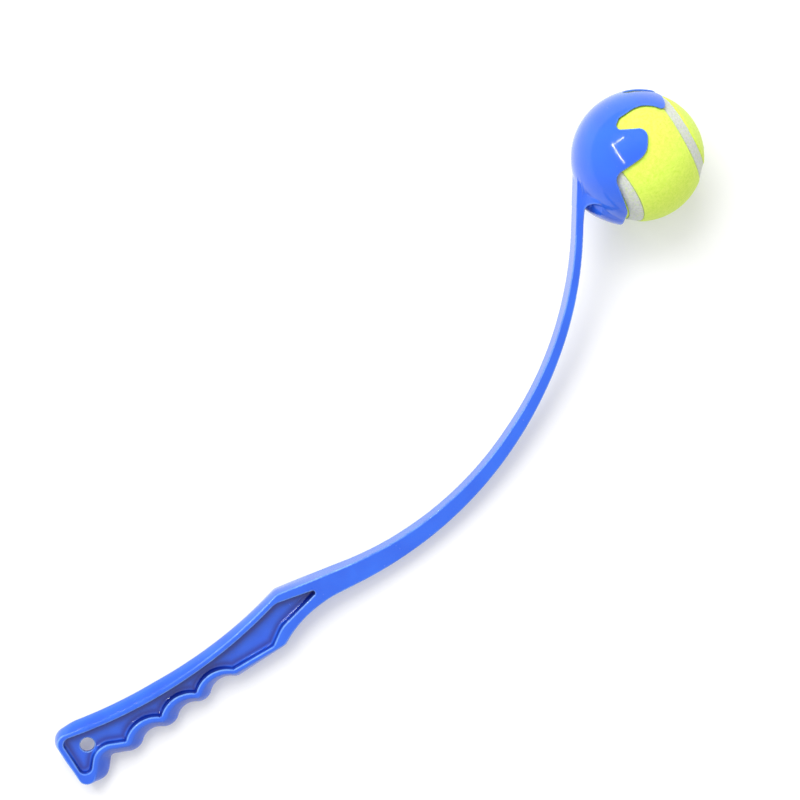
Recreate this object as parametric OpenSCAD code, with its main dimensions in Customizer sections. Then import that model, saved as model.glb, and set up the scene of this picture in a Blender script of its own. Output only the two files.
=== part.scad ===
// Dog ball launcher: a moulded grip with finger grooves, a thin bowed arm and a clawed cup with a felt ball.
// The launcher lies on its side on a table, as it is put down after a throw. Z is up.
// The origin is the centre of the hang hole, and X points from the hang hole towards the ball.

/* [Ball] */
// Diameter of the ball over the felt
ball_d = 63.5; // [58:0.5:68]
// Thickness of the felt cover
felt_t = 3; // [2:0.25:4]
// Wall of the hollow rubber core
core_wall = 3.5; // [2.5:0.25:5]
// Thickness of the cement ring between the two core halves
core_joint_t = 0.4; // [0.2:0.1:0.8]
// Width of the seam between the two felt panels
seam_w = 7.4; // [5:0.2:8.6]
// Depth of the seam below the felt
seam_sink = 0.6; // [0.3:0.1:1.2]
// Glue line between the pieces of the ball
glue_gap = 0.05; // [0.03:0.01:0.1]

/* [Cup] */
// Gap between the ball and the inside of the cup
cup_clear = 0.3; // [0.3:0.05:0.8]
// Wall of the cup and of its claws
cup_wall = 1.8; // [1.4:0.1:2.8]
// Width of the slot between the two upper claws
slot_w = 7.2; // [5:0.2:12]
// Distance from the ball's centre back to the root of that slot
slot_back = 9; // [6:0.5:12]
// Gap at the root of each bending claw
claw_gap = 0.1; // [0.05:0.05:0.3]

/* [Arm] */
// Distance from the hang hole to the ball's centre
throw_len = 399; // [370:1:440]
// Depth of the arm, and of the grip at its rims
blade_depth = 12; // [9:0.5:15]
// Thickness of the arm where it meets the cup
neck_t = 3.3; // [2.4:0.1:4.5]
// Thickness of the arm half way along
mid_t = 6.4; // [5:0.1:8]
// Thickness of the arm where it leaves the grip
root_t = 9.5; // [8:0.5:13]
// Turn from the line between hang hole and ball to the front of the cup
head_turn = 47.2; // [42:0.2:52]
// Radius of the fillet under the cup
gusset_r = 5.3; // [3:0.1:7]

/* [Grip] */
// Slope of the grip below the line from the hang hole to the ball
grip_slope = 13.1; // [11:0.1:15]
// Diameter of the hang hole
hang_hole_d = 7.2; // [5:0.2:9]
// Thickness of the web between the two pockets
web_t = 2.4; // [1.6:0.2:4]
// Width of the flat rim along the spine and the finger grooves
rim_w = 2.3; // [1.6:0.1:2.8]
// Width of the flat rim at the butt
butt_rim_w = 3; // [2.25:0.25:4]
// How far the outer wall swells beyond the rims along the spine
spine_bulge = 3.6; // [1:0.2:4]
// How far it swells beyond the rims along the finger grooves
finger_bulge = 5.4; // [1:0.2:6]
// Distance from one finger ridge to the next
ridge_pitch = 21; // [19:0.5:23]
// Depth of a finger groove
groove_depth = 3.8; // [2.8:0.1:4.2]
// Number of grooves between ridges
grooves = 3; // [2:1:4]
// Distance from the last ridge to the flared corner of the grip
flare_run = 28.8; // [24:0.2:34]

/* [Hidden] */
$fn = 96;

plastic_blue = "#2f62ee";
felt_yellow = "#d9f545";
seam_grey = "#c8ccc6";
core_grey = "#55595c";

far = 200;
half_depth = blade_depth / 2;
ball_r = ball_d / 2;
cup_in_r = ball_r + cup_clear;
cup_r = cup_in_r + cup_wall;

// Plane geometry
function flat(c) = [c.x, c.y];
function unit(v) = v / norm(v);
function heading(a) = [cos(a), sin(a)];
function side(v) = [-v.y, v.x];
function turned(v, a) = [v.x * cos(a) - v.y * sin(a), v.x * sin(a) + v.y * cos(a)];
function short_turn(a) = a > 180 ? a - 360 : a < -180 ? a + 360 : a;
function half_angle(a, b, c) = acos(unit(a - b) * unit(c - b)) / 2;
function fillet_centre(a, b, c, r) = b + unit(unit(a - b) + unit(c - b)) * r / sin(half_angle(a, b, c));
function with_r(p, r) = [p.x, p.y, r];
function arc(o, r, from, turn, steps) = [for (i = [0:steps]) o + r * heading(from + turn * i / steps)];

// Points of one corner b between a and c, rounded to radius r
function corner_points(a, b, c, r, steps) =
    r == 0 ? [b] :
    let (reach = r / tan(half_angle(a, b, c)))
    let (o = fillet_centre(a, b, c, r))
    let (p = b + unit(a - b) * reach - o)
    let (q = b + unit(c - b) * reach - o)
    let (from = atan2(p.y, p.x))
    arc(o, r, from, short_turn(atan2(q.y, q.x) - from), steps);

// A closed outline from corners given as [x, y, radius]
function rounded(corners, steps) =
    let (n = len(corners))
    [for (i = [0:n - 1]) each corner_points(
        flat(corners[(i + n - 1) % n]), flat(corners[i]), flat(corners[(i + 1) % n]), corners[i].z, steps)];

// Where two lines meet, each given by a point and a direction
function crossing(p, d, q, e) =
    let (cross_de = d.x * e.y - d.y * e.x)
    p + d * ((q - p).x * e.y - (q - p).y * e.x) / cross_de;

// Corner b moved inwards (to the right of the path) by one distance for each of its two edges
function inset_corner(a, b, c, before, after) =
    crossing(b - side(unit(b - a)) * before, b - a, b - side(unit(c - b)) * after, c - b);

// Grip outline, in the grip's own frame: x along the row of finger ridges, y towards the spine
first_ridge = [17.2, -11.2];
last_ridge = first_ridge + [grooves * ridge_pitch, 0];
flare_drop = 2;
flare = last_ridge + [flare_run, -flare_drop];
flare_r = 2.5;
spine_bend_run = 10.9;
spine_bend_rise = 23.9;
spine_bend = flare + [spine_bend_run, spine_bend_rise];
spine_bend_r = 8;
spine_start = [-12.1, 13.8];
spine_start_r = 5;
spine_dip_y = -3.8;
spine_dip = [(spine_start.x + spine_bend.x) / 2, spine_dip_y];
// Share of the largest arc that fits between two corners
arc_share = 0.86;
spine_r = arc_share * norm(spine_dip - spine_start) * tan(half_angle(spine_start, spine_dip, spine_bend));
butt_nose = [-14.2, -24.6];
nose_r = 4.5;
ridge_r = 2.2;
half_pitch = ridge_pitch / 2;
groove_rise = half_pitch * tan(2 * atan(groove_depth / half_pitch));
groove_r = arc_share * (half_pitch * half_pitch + groove_depth * groove_depth) / (2 * groove_depth);
butt_groove_run = 13.6;
butt_groove_rise = 6.8;
butt_groove = first_ridge + [-butt_groove_run, butt_groove_rise];
butt_groove_r = 8;
root_run_x = 48.6;
root_rise = 4.2;
arm_root = flare + [root_run_x, root_rise];
root_hollow_run = 19.3;
root_hollow_rise = 8.8;
root_hollow = flare + [root_hollow_run, root_hollow_rise];
root_hollow_r = 60;

// Head frame: x towards the mouth of the cup, y across it, with the ball's centre at zero
function to_plane(p) = turned(p, -grip_slope);
function to_head(p) = turned(p - [throw_len, 0], head_turn);
neck_inset = 5.7;
neck_drop = 3.85;
neck_in = [-(cup_r - neck_inset), -(cup_r + neck_drop)];
neck_out = neck_in - [neck_t, 0];
root_in = to_head(to_plane(arm_root));

// The arm's inner edge leaves the neck along y and runs as one arc to the root
root_run = root_in - neck_in;
bow_in_r = -(root_run * root_run) / (2 * root_run.x);
bow_in_centre = neck_in - [bow_in_r, 0];
root_ray = root_in - bow_in_centre;
bow_sweep = atan2(root_ray.y, root_ray.x);

// Its outer edge is the arc through the arm's thickness at the neck, half way and at the root
function bow_point(a, t) = bow_in_centre + heading(a) * (bow_in_r - t);
mid_out = bow_point(bow_sweep / 2, mid_t);
root_out = bow_point(bow_sweep, root_t);
bow_out_centre = crossing(
    (neck_out + mid_out) / 2, side(mid_out - neck_out), (mid_out + root_out) / 2, side(root_out - mid_out));
bow_out_r = norm(neck_out - bow_out_centre);

// The arm's outer corner at its root, taken back into the grip's frame
function from_head(p) = turned(turned(p, -head_turn) + [throw_len, 0], grip_slope);
arm_root_out = from_head(root_out);

// The root of the arm gets as many points as one rounded corner, to match the tip of the pocket
corner_steps = 6;
root_line = [
    for (i = [0:corner_steps]) with_r(arm_root_out + (arm_root - arm_root_out) * i / corner_steps, 0)
];
ridges = [for (i = [0:grooves]) last_ridge - [i * ridge_pitch, 0]];
grip_row = [
    for (i = [0:grooves]) each concat(
        [with_r(ridges[i], ridge_r)],
        i < grooves ? [with_r(ridges[i] + [-half_pitch, groove_rise], groove_r)] : [])
];
grip_corners = concat(
    [with_r(spine_start, spine_start_r), with_r(spine_dip, spine_r), with_r(spine_bend, spine_bend_r)],
    root_line,
    [with_r(root_hollow, root_hollow_r), with_r(flare, flare_r)],
    grip_row,
    [with_r(butt_groove, butt_groove_r), with_r(butt_nose, nose_r)]);
grip_outline = rounded(grip_corners, corner_steps);

// Pocket outline: the grip's outline drawn in by the rims, closed by a tip where the arm begins
pocket_tip_run = 31;
pocket_tip_rise = 13.8;
pocket_tip = flare + [pocket_tip_run, pocket_tip_rise];
pocket_bend_run = 3.2;
pocket_bend_drop = 1.3;
pocket_bend = spine_bend - [pocket_bend_run, pocket_bend_drop + rim_w];
pocket_hollow_run = 3.6;
pocket_hollow_rise = 8.2;
pocket_hollow = flare + [pocket_hollow_run, pocket_hollow_rise];
pocket_flare_back = 5;
pocket_flare_rise = 0.3;
pocket_flare = flare + [-pocket_flare_back, pocket_flare_rise + rim_w];
butt_pocket_r = 3;
pocket_bend_r = 10;
pocket_tip_r = 1.2;
pocket_hollow_r = 16;
corners_before_row = 5;
row_start = corners_before_row + len(root_line);
butt_index = len(grip_corners) - 1;
function grip_corner(i) = flat(grip_corners[(i + len(grip_corners)) % len(grip_corners)]);
function drawn_in(i, before, after) =
    inset_corner(grip_corner(i - 1), grip_corner(i), grip_corner(i + 1), before, after);
pocket_ridge_r = 0.6;
rim_share = 0.55;
pocket_groove_r = groove_r + rim_share * rim_w;
pocket_butt_groove_r = 9;
function row_r(i) = (i - row_start) % 2 == 0 ? pocket_ridge_r : pocket_groove_r;
pocket_corners = concat(
    [
        with_r(drawn_in(0, butt_rim_w, rim_w), butt_pocket_r),
        with_r(drawn_in(1, rim_w, rim_w), spine_r + rim_w),
        with_r(pocket_bend, pocket_bend_r), with_r(pocket_tip, pocket_tip_r),
        with_r(pocket_hollow, pocket_hollow_r), with_r(pocket_flare, flare_r)
    ],
    [for (i = [row_start:butt_index - 2]) with_r(drawn_in(i, rim_w, rim_w), row_r(i))],
    [
        with_r(drawn_in(butt_index - 1, rim_w, rim_w), pocket_butt_groove_r),
        with_r(drawn_in(butt_index, rim_w, butt_rim_w), butt_pocket_r)
    ]);
pocket_outline = rounded(pocket_corners, corner_steps);

// Swell of the outer wall: more on the finger side, fading out towards the arm, and only a share at the butt
swell_full_x = 45;
swell_end_gap = 16;
swell_end_x = arm_root.x - swell_end_gap;
butt_share = 0.2;
butt_share_x = -12;
butt_full_x = 3;
finger_from_y = -1;
finger_full_y = -7;
function eased(t) = let (c = max(0, min(1, t))) c * c * (3 - 2 * c);
function swell_front(x) = max(0, min(1, (swell_end_x - x) / (swell_end_x - swell_full_x)));
function swell_butt(x) =
    butt_share + (1 - butt_share) * eased((x - butt_share_x) / (butt_full_x - butt_share_x));
function finger_side(y) = eased((finger_from_y - y) / (finger_from_y - finger_full_y));
function bulge(y) = spine_bulge + (finger_bulge - spine_bulge) * finger_side(y);
function swell(p) = bulge(p.y) * swell_front(p.x) * swell_butt(p.x);
function outward(pts, i) =
    let (n = len(pts))
    unit(side(unit(pts[i] - pts[(i + n - 1) % n])) + side(unit(pts[(i + 1) % n] - pts[i])));

// The launcher lies on the ball, on the nose of the butt and on the flared corner
nose_centre = fillet_centre(flat(grip_corners[butt_index - 1]), butt_nose, spine_start, nose_r);
flare_centre = fillet_centre(root_hollow, flare, last_ridge, flare_r);
rest_run = flare_centre - nose_centre;
rest_slope = atan2(rest_run.y, rest_run.x) + asin((nose_r - flare_r) / norm(rest_run));
rest_axis = heading(rest_slope - grip_slope);
nose_plane = to_plane(nose_centre) - side(rest_axis) * nose_r;
ball_reach = side(rest_axis) * ([throw_len, 0] - nose_plane);
roll = asin(ball_r / norm([ball_reach, half_depth])) - atan2(half_depth, ball_reach);

module lie() rotate(a = roll, v = [rest_axis.x, rest_axis.y, 0]) children();
module grip_frame() lie() rotate(-grip_slope) children();
module head_frame() lie() translate([throw_len, 0, 0]) rotate(-head_turn) children();

// A ring between two outlines with matching points, whose outer wall swells between its two flat faces
module swelling_ring(outline, opening, rows) {
    n = len(outline);
    levels = [for (k = [0:rows]) -90 + 180 * k / rows];
    outer = [
        for (a = levels, i = [0:n - 1])
            let (p = outline[i] + outward(outline, i) * swell(outline[i]) * cos(a))
            [p.x, p.y, half_depth * sin(a)]
    ];
    inner = [for (z = [-half_depth, half_depth], p = opening) [p.x, p.y, z]];
    low = (rows + 1) * n;
    // Loops in the order they meet round the ring's section
    loops = concat([for (k = [0:rows]) k * n], [low + n, low]);
    faces = [
        for (k = [0:len(loops) - 1], i = [0:n - 1])
            let (j = (i + 1) % n)
            let (a = loops[k])
            let (b = loops[(k + 1) % len(loops)])
            each [[a + i, a + j, b + j], [a + i, b + j, b + i]]
    ];
    polyhedron(concat(outer, inner), faces, convexity = 6);
}

swell_rows = 8;
module handle_flange() {
    color(plastic_blue) grip_frame() swelling_ring(grip_outline, pocket_outline, swell_rows);
}

module handle_web() {
    color(plastic_blue) grip_frame() difference() {
        translate([0, 0, -web_t / 2]) linear_extrude(web_t) polygon(pocket_outline);
        translate([0, 0, -web_t]) cylinder(d = hang_hole_d, h = 2 * web_t);
    }
}

module throwing_arm() {
    sector_steps = 4;
    color(plastic_blue) head_frame() intersection() {
        translate([bow_in_centre.x, bow_in_centre.y, -half_depth]) cylinder(r = bow_in_r, h = blade_depth);
        difference() {
            translate([bow_in_centre.x, bow_in_centre.y, -blade_depth]) linear_extrude(2 * blade_depth)
                polygon(concat([[0, 0]], arc([0, 0], 2 * bow_in_r, 0, bow_sweep, sector_steps)));
            translate([bow_out_centre.x, bow_out_centre.y, -far]) cylinder(r = bow_out_r, h = 2 * far);
        }
    }
}

module neck_gusset() {
    fillet_top = 0.72 * cup_r;
    fillet_steps = 8;
    fillet_from = [neck_in.x, -fillet_top];
    fillet_o = fillet_from + [gusset_r, 0];
    inside = 0.55 * cup_r;
    lean = 1;
    outline = concat(
        [neck_out, neck_in], arc(fillet_o, gusset_r, 180, -90, fillet_steps),
        [[-inside, -inside], [-inside, -cup_wall], [neck_out.x - lean, -cup_wall]]);
    color(plastic_blue) head_frame() difference() {
        translate([0, 0, -half_depth]) linear_extrude(blade_depth) polygon(outline);
        sphere(cup_r);
    }
}

// Mouth of the cup, as [x, y, radius] in cup radii: upper claw, notch, side claw, notch, lower lip
mouth = [
    [0.28, 1.3, 0], [0.255, 0.754, 0.075], [-0.096, 0.877, 0.494], [-0.455, 0.65, 0.1],
    [-0.548, 0.481, 0.053], [-0.089, 0.538, 0.1], [-0.107, 0.203, 0.302], [-0.554, -0.151, 0.17],
    [-0.295, -0.709, 0.19], [-0.27, -1.3, 0]
];
mouth_back = [[-1.3, -1.3, 0], [-1.3, 1.3, 0]];
mouth_outline = [for (p = rounded(concat(mouth, mouth_back), corner_steps)) p * cup_r];

// Root planes of the claws pass through the ball's centre: [tilt towards the side, turn about the side]
upper_root = [35.3, 0];
side_root = [31.1, 3.3];
lip_root = [0, -38];
// Lines through the two notches that part the claws, as heights over the back and the front of the cup
upper_notch = [0.526, 0.766];
lower_notch = [-0.043, -0.443];

module cup_shell() {
    intersection() {
        difference() {
            sphere(cup_r);
            sphere(cup_in_r);
        }
        translate([0, 0, -far]) linear_extrude(2 * far) polygon(mouth_outline);
    }
}

// The slot between the upper claws, with a round root and rounded claw tips
module upper_slot() {
    s = slot_w / 2;
    root_flat = 0.1;
    root_r = s - root_flat;
    tip = 0.26 * cup_r;
    tip_r = 2.5;
    spread_run = 4;
    spread_rise = 6;
    flare_x = tip + spread_run;
    flare_y = s + spread_rise;
    outline = rounded([
        [flare_x, flare_y, 0], [tip, s, tip_r], [-slot_back, s, root_r],
        [-slot_back, -s, root_r], [tip, -s, tip_r], [flare_x, -flare_y, 0]], corner_steps);
    rotate([-90, 0, 0]) linear_extrude(far) polygon(outline);
}

// Half of space in front of a root plane, moved back by a gap
module before_root(root, gap) {
    rotate([0, -root[0], root[1]]) translate([-gap, -far / 2, -far / 2]) cube(far);
}

// A band across the cup between two notch lines, on the left side of the cup
module band(low, high) {
    linear_extrude(far) polygon(cup_r * [[-1, low[0]], [1, low[1]], [1, high[1]], [-1, high[0]]]);
}

above = [1.3, 1.3];
below = [-1.3, -1.3];
module upper_space(gap) {
    intersection() {
        band(upper_notch, above);
        before_root(upper_root, gap);
    }
}

module side_space(gap) {
    intersection() {
        band(lower_notch, upper_notch);
        before_root(side_root, gap);
    }
}

module lip_space() {
    intersection() {
        union() {
            band(below, lower_notch);
            mirror([0, 0, 1]) band(below, lower_notch);
        }
        before_root(lip_root, 0);
    }
}

module ball_cup() {
    color(plastic_blue) head_frame() difference() {
        cup_shell();
        upper_slot();
        lip_space();
        for (m = [0, 1]) mirror([0, 0, m]) {
            upper_space(claw_gap);
            side_space(claw_gap);
        }
    }
}

module lower_lip() {
    color(plastic_blue) head_frame() intersection() {
        cup_shell();
        lip_space();
    }
}

module upper_claw() {
    difference() {
        intersection() {
            cup_shell();
            upper_space(0);
        }
        upper_slot();
    }
}

module side_claw() {
    intersection() {
        cup_shell();
        side_space(0);
    }
}

module upper_claw_left() { color(plastic_blue) head_frame() upper_claw(); }
module upper_claw_right() { color(plastic_blue) head_frame() mirror([0, 0, 1]) upper_claw(); }
module side_claw_left() { color(plastic_blue) head_frame() side_claw(); }
module side_claw_right() { color(plastic_blue) head_frame() mirror([0, 0, 1]) side_claw(); }

// The ball, turned so that its seam lies as it came to rest in the cup
seam_turn = [-172, -149, -61];
core_r = ball_r - felt_t;
core_in_r = core_r - core_wall;
felt_in_r = core_r + glue_gap;
// The seam follows four circles that touch in pairs, each seen from the centre under the same angle
lobe_dip = 6;
lobe_angle = acos(-pow(sin(lobe_dip), 2)) / 2;
half_seam = asin(seam_w / 2 / ball_r);
half_strip = asin((seam_w / 2 - glue_gap) / ball_r);

module ball_frame() head_frame() rotate(seam_turn) children();

module hollow_ball(outer, inner) {
    difference() {
        sphere(outer);
        sphere(inner);
    }
}

module half_space() translate([-far / 2, -far / 2, 0]) cube(far);

// The two end lobes of a felt panel, as cones from the centre
module lobes(angle) {
    for (m = [0, 1]) mirror([m, 0, 0]) rotate([0, 90 + lobe_dip, 0])
        cylinder(r1 = 0, r2 = ball_d * tan(angle), h = ball_d);
}

module other_lobes(angle) rotate([180, 0, 90]) lobes(angle);

// Everything on the top panel's side of the seam, set back from the seam's middle by an angle
module top_side(back) {
    difference() {
        half_space();
        other_lobes(lobe_angle + back);
    }
    intersection() {
        mirror([0, 0, 1]) half_space();
        lobes(lobe_angle - back);
    }
}

module felt_panel() {
    intersection() {
        hollow_ball(ball_r, felt_in_r);
        top_side(half_seam);
    }
}

module core_half() {
    intersection() {
        hollow_ball(core_r, core_in_r);
        translate([0, 0, core_joint_t / 2]) half_space();
    }
}

module core_half_top() { color(core_grey) ball_frame() core_half(); }
module core_half_bottom() { color(core_grey) ball_frame() mirror([0, 0, 1]) core_half(); }

module core_cement_ring() {
    color(core_grey) ball_frame() intersection() {
        hollow_ball(core_r, core_in_r);
        translate([-far / 2, -far / 2, -core_joint_t / 2]) cube([far, far, core_joint_t]);
    }
}

module felt_panel_top() { color(felt_yellow) ball_frame() felt_panel(); }
module felt_panel_bottom() { color(felt_yellow) ball_frame() rotate([180, 0, 90]) felt_panel(); }

module seam_cement() {
    color(seam_grey) ball_frame() difference() {
        hollow_ball(ball_r - seam_sink, felt_in_r);
        top_side(half_strip);
        rotate([180, 0, 90]) top_side(half_strip);
    }
}

handle_flange();
handle_web();
throwing_arm();
neck_gusset();
ball_cup();
lower_lip();
upper_claw_left();
upper_claw_right();
side_claw_left();
side_claw_right();
core_half_top();
core_half_bottom();
core_cement_ring();
felt_panel_top();
felt_panel_bottom();
seam_cement();
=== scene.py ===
"""A dog ball launcher lying on a white table: moulded grip, bowed arm, clawed cup and felt ball.

Shapes are worked out in millimetres, in the grip's, the head's or the ball's own frame, and then
placed in the part's frame in metres. Plane points are complex numbers.
"""
import cmath
import logging
import math
from collections.abc import Callable
from dataclasses import dataclass
from enum import Enum
from functools import partial

import bmesh
import bpy
import numpy as np
from bpy.types import Material, Node, NodeSocket, NodeTree, Object
from mathutils import Matrix, Vector, noise


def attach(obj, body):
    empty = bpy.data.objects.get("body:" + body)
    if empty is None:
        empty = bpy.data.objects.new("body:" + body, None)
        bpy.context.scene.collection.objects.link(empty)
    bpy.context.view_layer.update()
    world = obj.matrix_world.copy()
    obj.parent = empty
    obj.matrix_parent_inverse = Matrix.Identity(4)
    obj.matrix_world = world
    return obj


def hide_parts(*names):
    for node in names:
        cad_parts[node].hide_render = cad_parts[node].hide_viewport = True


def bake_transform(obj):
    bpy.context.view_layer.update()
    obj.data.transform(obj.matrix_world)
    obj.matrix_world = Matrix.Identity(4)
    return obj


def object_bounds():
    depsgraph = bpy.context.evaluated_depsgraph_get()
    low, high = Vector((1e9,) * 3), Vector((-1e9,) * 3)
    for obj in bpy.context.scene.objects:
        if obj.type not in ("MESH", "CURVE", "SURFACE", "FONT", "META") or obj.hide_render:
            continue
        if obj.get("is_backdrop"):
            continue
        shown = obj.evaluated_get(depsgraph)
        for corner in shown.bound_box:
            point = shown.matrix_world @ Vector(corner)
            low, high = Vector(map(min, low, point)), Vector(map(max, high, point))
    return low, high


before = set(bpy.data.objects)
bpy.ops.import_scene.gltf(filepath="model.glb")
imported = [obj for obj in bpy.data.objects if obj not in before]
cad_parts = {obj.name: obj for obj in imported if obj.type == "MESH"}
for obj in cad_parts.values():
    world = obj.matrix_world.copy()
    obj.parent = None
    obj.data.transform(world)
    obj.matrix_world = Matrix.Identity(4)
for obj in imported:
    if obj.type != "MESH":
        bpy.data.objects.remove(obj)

LOG = logging.getLogger("ball_launcher")
MM = 0.001
TINY = 1e-6
CUT_TOLERANCE = 1e-4
WHITE = (1.0, 1.0, 1.0, 1.0)
# Colour of the painted shade in the cup's hollows and creases
CUP_HOLLOW_SHADE = (0.006, 0.065, 0.55, 1.0)

Array = np.ndarray
Field = Callable[[Array, Array, Array], Array]
Colour = tuple[float, float, float, float]
Band = tuple[float, float]
Point = tuple[float, float, float]


class Slot(Enum):
    """Material slots of the record."""

    PLASTIC = "blue_plastic"
    FELT = "yellow_felt"
    SEAM = "seam_rubber"


class ClawPair(Enum):
    """The two pairs of bending claws."""

    UPPER = "upper_claw"
    SIDE = "side_claw"


class Hand(Enum):
    """The two sides of the cup, as the sign of its depth axis."""

    LEFT = 1
    RIGHT = -1


def heading(degrees: float) -> complex:
    """Give the unit vector at an angle."""
    return cmath.exp(1j * math.radians(degrees))


def vector(p: complex) -> Vector:
    """Give a plane point as a vector."""
    return Vector((p.real, p.imag, 0))


def cross(a: complex, b: complex) -> float:
    """Give the cross product of two plane vectors."""
    return (a.conjugate() * b).imag


def crossing(p: complex, d: complex, q: complex, e: complex) -> complex:
    """Find where the line through p along d meets the line through q along e."""
    return p + d * cross(q - p, e) / cross(d, e)


def smooth_step(value: Array, low: float, high: float) -> Array:
    """Ease values from 0 at low to 1 at high."""
    t = np.clip((value - low) / (high - low), 0, 1)
    return t * t * (3 - 2 * t)


def round_max(a: Array, b: Array, r: float | Array) -> Array:
    """Keep what lies in both of two distance fields, negative inside, with an edge of radius r."""
    return np.minimum(np.maximum(a, b), -r) + np.hypot(np.maximum(a + r, 0), np.maximum(b + r, 0))


def round_min(a: Array, b: Array, r: float | Array) -> Array:
    """Join two distance fields with a fillet of radius r."""
    return -round_max(-a, -b, r)


@dataclass(frozen=True)
class Corner:
    """One corner of an outline, in millimetres, and the radius it is rounded to."""

    at: complex
    r: float = 0.05

    def moved(self, step: complex) -> "Corner":
        """Give the corner moved by a step."""
        return Corner(self.at + step, self.r)


class Outline:
    """A closed outline of straight edges and round corners."""

    def __init__(self, corners: list[Corner]) -> None:
        """Work out the arc of each corner and the edge that follows it.

        Args:
            corners: The corners in order, in either direction. A radius is cut where its edges are too short.
        """
        at = np.array([c.at for c in corners])
        wanted = np.array([c.r for c in corners])
        edge = np.roll(at, -1) - at
        length = np.abs(edge)
        after = edge / length
        before = -np.roll(after, 1)
        half = np.abs(np.angle(after / before)) / 2
        reach = wanted / np.tan(half)
        room = length / (reach + np.roll(reach, -1))
        fit = np.minimum(1, np.minimum(room, np.roll(room, 1)))
        reach = reach * fit
        bisector = (before + after) / np.abs(before + after)
        area = np.sum((at.conjugate() * np.roll(at, -1)).imag)
        turning = (-before.conjugate() * after).imag
        self.outward = -math.copysign(1, area)
        self.radius = wanted * fit
        self.centre = at + bisector * self.radius / np.sin(half)
        self.middle = -bisector
        self.spread = np.sin(half)
        self.bulge = np.where(turning * area > 0, 1.0, -1.0)
        self.start = at + after * reach
        self.along = after
        self.run = np.abs(np.roll(at + before * reach, -1) - self.start)

    def distance(self, x: Array, y: Array) -> Array:
        """Measure how far points lie from the outline.

        Args:
            x: First coordinates.
            y: Second coordinates, of a shape that broadcasts with x.

        Returns:
            Distances, negative inside the outline.
        """
        p = x + 1j * y
        best = np.full(p.shape, np.inf)
        signed = np.zeros(p.shape)
        for i in range(len(self.radius)):
            ray = p - self.centre[i]
            far = np.abs(ray)
            on_arc = (ray * self.middle[i].conjugate()).real >= far * self.spread[i]
            off = self.bulge[i] * (far - self.radius[i])
            closer = on_arc & (np.abs(off) < best)
            signed = np.where(closer, off, signed)
            best = np.where(closer, np.abs(off), best)
            local = (p - self.start[i]) * self.along[i].conjugate()
            gap = np.abs(local - np.clip(local.real, 0, self.run[i]))
            closer = gap < best
            signed = np.where(closer, np.copysign(gap, self.outward * local.imag), signed)
            best = np.where(closer, gap, best)
        return signed


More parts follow.
